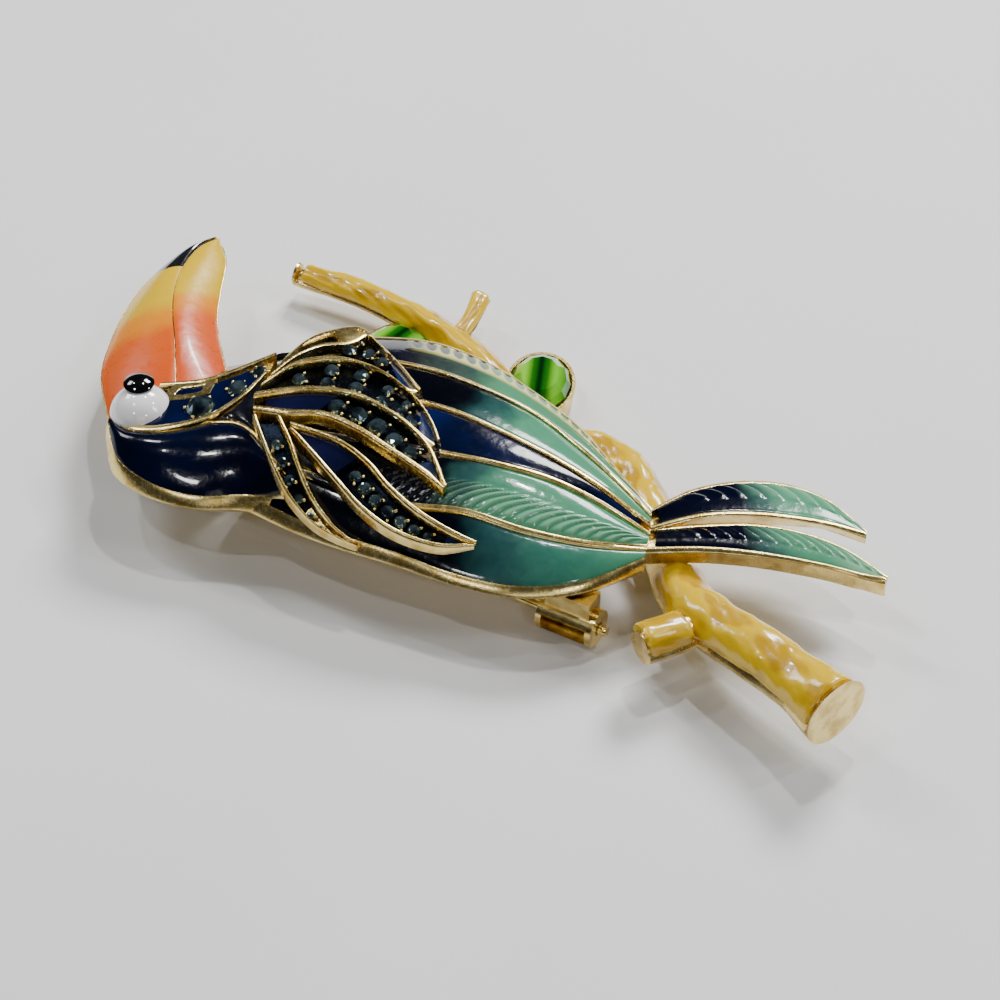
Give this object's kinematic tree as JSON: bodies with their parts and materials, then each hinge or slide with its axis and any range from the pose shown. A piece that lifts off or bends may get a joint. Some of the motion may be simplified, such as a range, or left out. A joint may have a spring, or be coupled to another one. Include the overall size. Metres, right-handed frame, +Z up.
{
  "type": "figural animal brooch",
  "caption": "Gold-plated brooch shaped as a large-beaked bird on a branch, with enamel feathers, small cut stones, green stones and a pin on its back.",
  "frame": {"origin": "centre of the bounding box in plan, on the surface that the brooch lies on", "axes": "+X from the head to the tail, +Y towards the beak's tip, +Z up through the brooch's face"},
  "size_m": [0.0736, 0.0456, 0.0126],
  "materials": {
    "gold": "polished pale gold plate",
    "navy": "glossy navy enamel",
    "navy_blue": "glossy blue-black enamel",
    "blue": "glossy blue enamel",
    "navy_teal": "enamel shading from navy to teal",
    "teal": "glossy teal enamel over ribs",
    "teal_pale": "glossy pale teal enamel",
    "yellow": "glossy yellow enamel",
    "orange": "glossy orange enamel",
    "black": "glossy black enamel",
    "white": "glossy white enamel",
    "sapphire": "faceted blue-grey rhinestone",
    "green_glass": "faceted bright green stone",
    "pin_metal": "plain gold-plated pin and catch"
  },
  "bodies": {
    "root": {"casting": "gold", "nape_enamel": "navy", "panel_far": "teal_pale", "panel_second": "teal", "panel_stripe": "navy_blue", "panel_main": "teal", "panel_near": "navy_teal", "tail_upper_enamel": "navy_teal", "tail_lower_enamel": "navy_teal", "beak_upper_enamel": "yellow", "beak_lower_enamel": "yellow", "beak_base_enamel": "orange", "beak_tip_enamel": "black", "stripe_enamel": "blue", "feather_base_enamel": "navy_blue", "feather_tip_enamel": "navy_blue", "throat_enamel": "blue", "bark_near": "yellow", "bark_middle": "yellow", "bark_far": "yellow", "eye_white": "white", "pupil": "black", "head_stone_large": "sapphire", "head_stone_middle": "sapphire", "head_stone_small": "sapphire", "pave_a": "sapphire", "pave_b": "sapphire", "pave_c": "sapphire", "pave_d": "sapphire", "pave_e": "sapphire", "green_stone_near": "green_glass", "green_stone_far": "green_glass", "pin_stem": "pin_metal", "catch": "pin_metal"}
  },
  "joints": []
}
